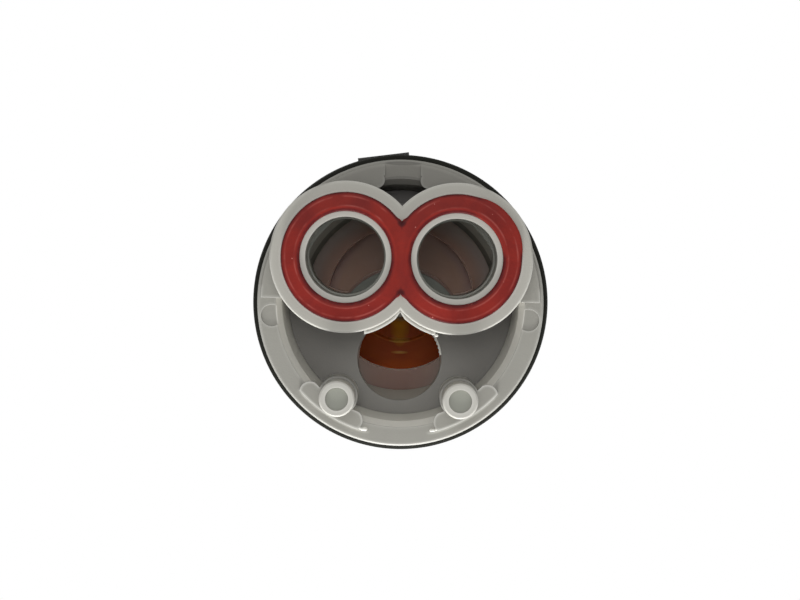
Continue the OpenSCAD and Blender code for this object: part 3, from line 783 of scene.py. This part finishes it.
def amber_coats(tree, paint):
    """In turn, painted light and shade: a highlight down the middle, shade at its olive far end, the dome's
    bright arc, its glint, the lit band and a highlight dash.
    """
    # Painted highlight down the middle of the dome.
    paint = coat(tree, paint, spot(tree, (0, 3.6), (1.5, 3.2)), srgb(214, 146, 8))
    # Painted shade at the middle's far end.
    paint = coat(tree, paint, spot(tree, (0, 1), (3, 2.2), gain=2.0), srgb(150, 132, 94))
    dome_arc = circle_line(tree, DOME, DOME_R, 0.35)
    # Painted light along the dome's arc.
    paint = coat(tree, paint, dome_arc, srgb(218, 132, 58))
    near_middle = spot(tree, (0, 6), (1.6, 2))
    # Painted glint where the arc is nearest the middle.
    paint = coat(tree, paint, both(tree, dome_arc, near_middle), srgb(255, 220, 110))
    # Painted light in the lit band.
    paint = coat(tree, paint, spot(tree, (0, 9.4), (4.4, 1.1)), srgb(208, 100, 24), 0.6)
    # Painted highlight dash.
    return coat(tree, paint, spot(tree, (0, 7.5), (1.3, 0.24)), srgb(222, 168, 84))


carrier_plastic = moulded("carrier_plastic", srgb(186, 88, 26), srgb(164, 70, 18), srgb(186, 100, 34),
                          roughness=0.4, shine=0.1, coats=amber_coats)
let_light_in(carrier_plastic, weight=0.35, radius=(1.0, 0.45, 0.12), scale=2.5 * MM)
tell(carrier_plastic)

# %% [markdown]
# ## Metals
#
# The pivot pin is ground steel, and the lever is a tumbled zinc casting, softer in its gloss. Both are the
# moulded recipe with the shader's Metallic at 1, because metal too has clouds, a grain, and edges that catch
# the light, which the recipe paints as highlights.


# %% Metals
def metal(name, colour, worn, roughness):
    # The third colour is the painted edge highlight.
    material = moulded(name, colour, worn, srgb(225, 223, 218), roughness, cloud_size=3 * MM,
                       grain_size=0.3 * MM)
    shader_inputs(material)["Metallic"].default_value = 1
    return material


pin_steel = metal("pin_steel", srgb(196, 196, 196), srgb(186, 187, 189), 0.22)
lever_metal = metal("lever_metal", srgb(188, 186, 180), srgb(172, 170, 166), 0.36)
tell(pin_steel, lever_metal)

# %% [markdown]
# ## A finish for each part
#
# Each node of the frame gets its finish by name. The materials could be assigned by hand, but a table shows
# at a glance which parts share one.

# %% A finish for each part
FINISHES = {
    "base": base_plastic,
    "port_seal": red_silicone,
    "body_ring": black_rubber,
    "hot_gasket": lit_gasket_rubber,
    "cold_gasket": lit_gasket_rubber,
    "outlet_gasket": lit_gasket_rubber,
    "fixed_disc": fixed_ceramic,
    "moving_disc": moving_ceramic,
    "carrier_seal": black_rubber,
    "disc_carrier": carrier_plastic,
    "rotor": rotor_plastic,
    "lever_pin": pin_steel,
    "lever": lever_metal,
    "glide_ring": glide_plastic,
    "housing": housing_plastic,
    "limiter_ring": limiter_plastic,
}
for node_name, finish in FINISHES.items():
    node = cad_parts[node_name]
    node.data.materials.clear()
    node.data.materials.append(finish)
print("parts with a finish:", len(FINISHES))

# %% [markdown]
# ## Turned rings
#
# A seal ring is a closed section turned about an axis. It could be a curve with a round bevel or a stock
# torus pressed into shape, but a spun section keeps each corner where the drawing has it. A full spin
# merges its first and last copy, so the ring has no seam.


# %% Turned rings
def arc(centre_r, centre_z, radius, start, end, steps=4):
    """Points of a section, each a radius and a height, from one angle in degrees to another."""
    angles = [math.radians(start + (end - start) * k / steps) for k in range(steps + 1)]
    return [(centre_r + radius * math.cos(a), centre_z + radius * math.sin(a)) for a in angles]


def turned_ring(profile, centre, steps):
    mesh = bmesh.new()
    corners = [mesh.verts.new((centre.x + radius, centre.y, height)) for radius, height in profile]
    for first, second in zip(corners, corners[1:] + corners[:1]):
        mesh.edges.new((first, second))
    bmesh.ops.spin(mesh, geom=mesh.verts[:] + mesh.edges[:], cent=centre, axis=(0, 0, 1),
                   angle=math.tau, steps=steps, use_merge=True)
    return mesh


print("a quarter of a circle has", len(arc(0, 0, 1, 0, 90)), "points")

# %% [markdown]
# ## Section of the port seal
#
# The engineering model has a plain closed solid for the port seal. The real one is a flat band of silicone
# with rounded edges and a low bead beside each bore, which seals first when the tap is closed up. The solid
# could be bevelled instead, but its mesh is loose triangles. A new section gives clean edges and room for
# the bead.

# %% Section of the port seal
SEAL_PROUD, SEAL_ROUND, SEAL_WIDTH = 0.42 * MM, 0.22 * MM, 2.46 * MM
SEAL_SWELL, SEAL_CLEAR = 0.08 * MM, 0.05 * MM
BEAD_PLACE, BEAD_HALF, BEAD_RISE = 0.65 * MM, 0.28 * MM, 0.07 * MM

seal_low, seal_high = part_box("port_seal")
port_y = (seal_low.y + seal_high.y) / 2
seal_out = (seal_high.y - seal_low.y) / 2 + SEAL_SWELL
port_x = seal_high.x - seal_out + SEAL_SWELL
seal_in = seal_out - SEAL_WIDTH
seal_foot = seal_high.z - SEAL_CLEAR


def seal_profile():
    face = -SEAL_PROUD
    bead = seal_in + BEAD_PLACE
    inner_edge = arc(seal_in + SEAL_ROUND, face + SEAL_ROUND, SEAL_ROUND, 180, 270)
    outer_edge = arc(seal_out - SEAL_ROUND, face + SEAL_ROUND, SEAL_ROUND, 270, 360)
    ridge = [(bead - BEAD_HALF, face), (bead - 0.3 * BEAD_HALF, face - BEAD_RISE),
             (bead + 0.3 * BEAD_HALF, face - BEAD_RISE), (bead + BEAD_HALF, face)]
    return [(seal_in, seal_foot)] + inner_edge + ridge + outer_edge + [(seal_out, seal_foot)]


print("seal: radii", round(seal_in / MM, 2), "to", round(seal_out / MM, 2), "mm, points", len(seal_profile()))

# %% [markdown]
# ## Two rings in one
#
# The seal is two rings that share their middle. Each ring is cut at the plane between the bores and welded to
# the other there, so the waist has no seam. A section swept along a figure-eight curve would be shorter to
# write, but it would pinch at the waist.


# %% Two rings in one
def join_into(whole, part):
    data = bpy.data.meshes.new("part")
    part.to_mesh(data)
    part.free()
    whole.from_mesh(data)
    bpy.data.meshes.remove(data)


def seal_half(side):
    mesh = turned_ring(seal_profile(), Vector((side * port_x, port_y, 0)), steps=256)
    bmesh.ops.bisect_plane(mesh, geom=mesh.verts[:] + mesh.edges[:] + mesh.faces[:],
                           plane_co=(0, 0, 0), plane_no=(-side, 0, 0), clear_outer=True)
    return mesh


seal_mesh = bmesh.new()
for side in (-1, 1):
    join_into(seal_mesh, seal_half(side))
bmesh.ops.remove_doubles(seal_mesh, verts=seal_mesh.verts, dist=0.001 * MM)
print("seal: points after the weld", len(seal_mesh.verts))

# %% [markdown]
# ## From mesh to piece
#
# Every mesh made here becomes a piece in the same way. Its normals are recalculated, because a spin can turn
# a shape inside out. Its faces are smooth except across sharp edges, and it rides on a body of the
# mechanism, so that it moves with it. Parenting by hand would do the same until the frame changes.


# %% From mesh to piece
def add_piece(name, mesh, material, body, sharp=35):
    bmesh.ops.recalc_face_normals(mesh, faces=mesh.faces)
    data = bpy.data.meshes.new(name)
    mesh.to_mesh(data)
    mesh.free()
    data.polygons.foreach_set("use_smooth", [True] * len(data.polygons))
    data.set_sharp_from_angle(angle=math.radians(sharp))
    data.materials.append(material)
    piece = bpy.data.objects.new(name, data)
    scene.collection.objects.link(piece)
    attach(piece, body)
    print("piece", name, "with", len(data.polygons), "faces")
    return piece


# %% [markdown]
# ## Waves and creep of the seal
#
# Silicone is soft. The real seal's face waves slightly, its waist is blunter than two circles would make it,
# and at one place the seal has crept over the edge of its groove. A sculpted brush stroke would do, but a
# shift for each point above the groove is exact and gives the same result every time.

# %% Waves and creep of the seal
# Each wave, along x and along y: radians for a millimetre, and where it starts.
WAVES, WAVE_HEIGHT = ((0.52, 0.6), (0.61, -0.4)), 0.012 * MM
CREEP, CREEP_ANGLE, CREEP_REACH = 0.42 * MM, math.radians(-38), math.radians(30)
WAIST_BLUNT, WAIST_REACH, WAIST_HALF = 0.5 * MM, 0.5 * MM, 4.38 * MM


def seal_shift(point):
    wave = sum(math.sin(along / MM * pace + start) for along, (pace, start) in zip(point.xy, WAVES))
    out = Vector((point.x - port_x, point.y - port_y, 0))
    away = (math.atan2(out.y, out.x) - CREEP_ANGLE) / CREEP_REACH
    outer = max(0, (out.length - (seal_in + seal_out) / 2) / (seal_out - seal_in) * 2)
    crept = CREEP * outer * math.exp(-away ** 4) if point.x > 0 else 0
    above_waist = abs(point.y - port_y) / WAIST_HALF
    blunt = WAIST_BLUNT * math.exp(-(point.x / WAIST_REACH) ** 2) * min(1, above_waist) ** 6
    blunt = math.copysign(blunt, point.y - port_y)
    return out.normalized() * crept + Vector((0, blunt, WAVE_HEIGHT * wave))


for vert in seal_mesh.verts:
    if vert.co.z < 0:
        vert.co += seal_shift(vert.co)
port_seal = add_piece("silicone_seal", seal_mesh, red_silicone, "valve_body")
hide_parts("port_seal")

# %% [markdown]
# ## Body ring
#
# The body ring is a round cord of rubber, moulded in two halves, which leave a fine ridge of flash round its
# outside. A torus would be quicker, but its section would be a plain circle. Here the section is a circle
# with a gap, and the flash is two more points in the gap.

# %% Body ring
RING_FLASH = 0.03 * MM

ring_low, ring_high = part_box("body_ring")
ring_half = (ring_high.z - ring_low.z) / 2
ring_mid = (ring_high.z + ring_low.z) / 2
ring_section = arc(ring_high.x - ring_half, ring_mid, ring_half - RING_FLASH, 8, 352, steps=28)
ring_section += [(ring_high.x - RING_FLASH, ring_mid - 0.4 * RING_FLASH), (ring_high.x, ring_mid)]
ring_mesh = turned_ring(ring_section, Vector((0, 0, 0)), steps=240)
rubber_ring = add_piece("rubber_ring", ring_mesh, black_rubber, "valve_body")
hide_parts("body_ring")

# %% [markdown]
# ## Moulding flash
#
# Where two halves of a mould meet, a little melt creeps out and stays as a thin ragged edge. This base has a
# flake of it along one side of the outlet, and small nubs on the block's lip and at the ends of the pads. The
# nubs at the ends of the pads are partly flash and partly a pale shape put where a highlight falls. The flake
# is a small section spun part of the way round the outlet and made ragged. The nubs are flattened balls, half
# sunk in the base. Both could be cut from the base's own mesh, but it is the engineering model's and stays
# whole.

# %% Moulding flash
HOLE_Y, HOLE_R, FLAKE_Z = 7.77 * MM, 5.72 * MM, 10.45 * MM
FLAKE_HALF = 0.13 * MM
FLAKE_START, FLAKE_TURN = math.radians(-34), math.radians(28)
# Each row of rags: height, how many for a radian, and where it starts.
RAGS = ((0.3, 61, 0), (0.25, 137, 1))
# Each nub: x, y, z and radius in millimetres.
NUBS = ((4.86, 4.12, 0.5, 0.26), (4.4, 3.95, 0.45, 0.17),
        (-4.45, 17.05, 4.5, 0.36), (-4.8, 17.08, 4.5, 0.28), (-5.1, 16.98, 4.5, 0.2),
        (4.5, 17.08, 4.5, 0.27), (4.8, 17.06, 4.5, 0.24), (5.15, 16.96, 4.5, 0.2))


def ragged_flake():
    mesh = bmesh.new()
    middle = Vector((0, HOLE_Y, FLAKE_Z))
    start = Matrix.Translation(middle) @ Matrix.Rotation(FLAKE_START, 4, "Z")
    stand = start @ Matrix.Translation((HOLE_R, 0, 0)) @ Matrix.Rotation(math.pi / 2, 4, "X")
    bmesh.ops.create_circle(mesh, segments=8, radius=FLAKE_HALF, cap_ends=True, matrix=stand)
    bmesh.ops.spin(mesh, geom=mesh.faces[:] + mesh.edges[:] + mesh.verts[:], cent=(0, HOLE_Y, 0),
                   axis=(0, 0, 1), angle=FLAKE_TURN, steps=22)
    for vert in mesh.verts:
        angle = math.atan2(vert.co.y - HOLE_Y, vert.co.x)
        out = Vector((math.cos(angle), math.sin(angle), 0))
        ragged = sum((height * math.sin(count * angle + start) for height, count, start in RAGS), 0.5)
        centre = middle + out * HOLE_R
        vert.co = centre + (vert.co - centre) * (0.7 + ragged) - out * 0.1 * MM * ragged
    return mesh


flash_mesh = ragged_flake()
for x, y, z, radius in NUBS:
    nub_place = Matrix.Translation(Vector((x, y, z)) * MM) @ Matrix.Diagonal((1, 0.8, 0.7, 1))
    bmesh.ops.create_icosphere(flash_mesh, subdivisions=3, radius=radius * MM, matrix=nub_place)
# The pale colour stands partly for a highlight on the nubs at the pads' ends.
flash_and_highlight_plastic = moulded("flash_and_highlight_plastic", srgb(226, 224, 216), srgb(206, 204, 196), srgb(240, 239, 232),
                        roughness=0.5, shine=0.35)
moulding_flash_and_highlight = add_piece("moulding_flash_and_highlight", flash_mesh, flash_and_highlight_plastic, "valve_body", sharp=60)

# %% [markdown]
# ## Marks of the housing's mould
#
# The housing's mould opens sideways, and leaves a fine line down each side where its halves meet. The pins
# that push the part out leave round rings on the shoulder. Bump in the material could fake both, but they
# would vanish from the exported meshes. The lines are thin bevelled bars, half sunk in the wall, and each
# ring is a small half-round section spun about its own centre.

# %% Marks of the housing's mould
BARREL_R, COLLAR_R = 19.9 * MM, 20.2 * MM
SHOULDER_Z, COLLAR_Z = 33.06 * MM, 25.96 * MM
LINE_HALF, LINE_FOOT, LINE_HEAD = 0.09 * MM, 0.5 * MM, 1.1 * MM
EJECTOR_R, EJECTOR_HALF, EJECTOR_PLACE_R = 0.95 * MM, 0.05 * MM, 17.3 * MM
EJECTOR_ANGLES = (30, 90, 150, 210, 330)


def mould_line(mesh, side, radius, low, high):
    size = Matrix.Diagonal((2.2 * LINE_HALF, 2 * LINE_HALF, high - low, 1))
    place = Matrix.Translation((side * (radius - 0.6 * LINE_HALF), 0, (low + high) / 2))
    made = bmesh.ops.create_cube(mesh, size=1, matrix=place @ size)
    edges = {edge for vert in made["verts"] for edge in vert.link_edges}
    bmesh.ops.bevel(mesh, geom=list(edges), offset=0.5 * LINE_HALF, segments=2, profile=0.5, affect="EDGES",
                    material=-1)


def ejector_ring(angle):
    centre = Vector((math.cos(angle), math.sin(angle), 0)) * EJECTOR_PLACE_R
    section = arc(EJECTOR_R, SHOULDER_Z - 0.01 * MM, EJECTOR_HALF, 0, 315, steps=7)
    return turned_ring(section, centre, steps=40)


marks = bmesh.new()
housing_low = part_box("housing")[0]
for side in (-1, 1):
    mould_line(marks, side, BARREL_R, housing_low.z + LINE_FOOT, COLLAR_Z)
    mould_line(marks, side, COLLAR_R, COLLAR_Z, SHOULDER_Z - LINE_HEAD)
for degrees in EJECTOR_ANGLES:
    join_into(marks, ejector_ring(math.radians(degrees)))
housing_marks = add_piece("housing_marks", marks, housing_plastic, "valve_body")

# %% [markdown]
# ## Floor
#
# The cartridge stands on its two pins. The camera of the photograph is below the floor, so the floor has to
# vanish from there: its back face is clear, and so is the whole floor for every ray but the camera's. It
# could be left out of this view instead, but one scene has to serve every view. Seen from above it is plain
# and pale and keeps the object's shadow.

# %% Floor
FLOOR_SIZE, FLOOR_DROP, FLOOR_GLOW = 3.0, 0.05 * MM, 0.5


def mix_shaders(tree, factor, first, second, output):
    choose = tree.nodes.new("ShaderNodeMixShader")
    feed(tree, choose.inputs, (factor, first.outputs[0], second.outputs[0]))
    tree.links.new(choose.outputs[0], tree.nodes[output].inputs["Surface"])


def see_through_floor():
    material = bpy.data.materials.new("floor_finish")
    material.use_nodes = True
    tree = material.node_tree
    shader = tree.nodes["Principled BSDF"]
    shader.inputs["Base Color"].default_value = srgb(232, 231, 228)
    shader.inputs["Roughness"].default_value = 0.9
    shader.inputs["Specular IOR Level"].default_value = 0.1
    shader.inputs["Emission Color"].default_value = (1, 1, 1, 1)
    shader.inputs["Emission Strength"].default_value = FLOOR_GLOW
    path = tree.nodes.new("ShaderNodeLightPath")
    side = tree.nodes.new("ShaderNodeNewGeometry")
    front = math_node(tree, "SUBTRACT", 1.0, side.outputs["Backfacing"])
    seen = math_node(tree, "MULTIPLY", path.outputs["Is Camera Ray"], front)
    mix_shaders(tree, seen, tree.nodes.new("ShaderNodeBsdfTransparent"), shader, "Material Output")
    return material


floor_mesh = bmesh.new()
bmesh.ops.create_grid(floor_mesh, x_segments=1, y_segments=1, size=FLOOR_SIZE / 2)
bmesh.ops.translate(floor_mesh, verts=floor_mesh.verts, vec=Vector((0, 0, cad_low.z - FLOOR_DROP)))
floor = bpy.data.objects.new("floor", bpy.data.meshes.new("floor"))
floor_mesh.to_mesh(floor.data)
floor_mesh.free()
floor.data.materials.append(see_through_floor())
scene.collection.objects.link(floor)
print("floor at", round((cad_low.z - FLOOR_DROP) / MM, 2), "mm")

# %% [markdown]
# ## Light tent
#
# A product on white is lit from all round by a light tent. Here the world is the tent: the camera and
# mirror-like reflections see it as pure white, while the object only gets a plain level of light. A dome
# with lamps outside would do the same, but slower and with its seams in the reflections.

# %% Light tent
AMBIENT = 0.56


def white_world():
    world = bpy.data.worlds.new("tent")
    world.use_nodes = True
    tree = world.node_tree
    even = tree.nodes["Background"]
    even.inputs["Color"].default_value = (1, 1, 1, 1)
    even.inputs["Strength"].default_value = AMBIENT
    white = add_node(tree, "ShaderNodeBackground", Color=(1, 1, 1, 1), Strength=1.0)
    path = tree.nodes.new("ShaderNodeLightPath")
    seen = math_node(tree, "MAXIMUM", path.outputs["Is Camera Ray"], path.outputs["Is Glossy Ray"])
    seen = math_node(tree, "MAXIMUM", seen, path.outputs["Is Transmission Ray"])
    mix_shaders(tree, seen, even, white, "World Output")
    return world


scene.world = white_world()
print("the world gives the object", AMBIENT, "of white")

# %% [markdown]
# ## Soft lamps
#
# An even tent alone makes shapes look flat, so soft lamps add direction. One near the photographer and one
# low on the outlet's side light the ports, and two above light the lever for the other views. Hard spots
# would cut sharp shadows into the cavity, which the photograph doesn't have.

# %% Soft lamps
LAMP_AIM = Vector((0, 0, 20 * MM))
# Each lamp: name, place and width in millimetres, and watts.
LAMPS = (
    ("port_front", (-20, -120, -420), 160, 0.3),
    ("port_side", (-20, 330, -45), 90, 1.4),
    ("lever_side", (-260, -240, 420), 260, 1.5),
    ("lever_fill", (320, 120, 300), 260, 0.7),
)


def soft_lamp(name, place_mm, size_mm, watts):
    lamp = bpy.data.lights.new(name, "AREA")
    lamp.shape = "DISK"
    lamp.size = size_mm * MM
    lamp.energy = watts
    lamp_object = bpy.data.objects.new(name, lamp)
    scene.collection.objects.link(lamp_object)
    place = Vector(place_mm) * MM
    lamp_object.matrix_world = aim_matrix(place, (LAMP_AIM - place).normalized(), Vector((0, 1, 0.3)))


for lamp_values in LAMPS:
    soft_lamp(*lamp_values)
print("lamps:", ", ".join(lamp_values[0] for lamp_values in LAMPS))
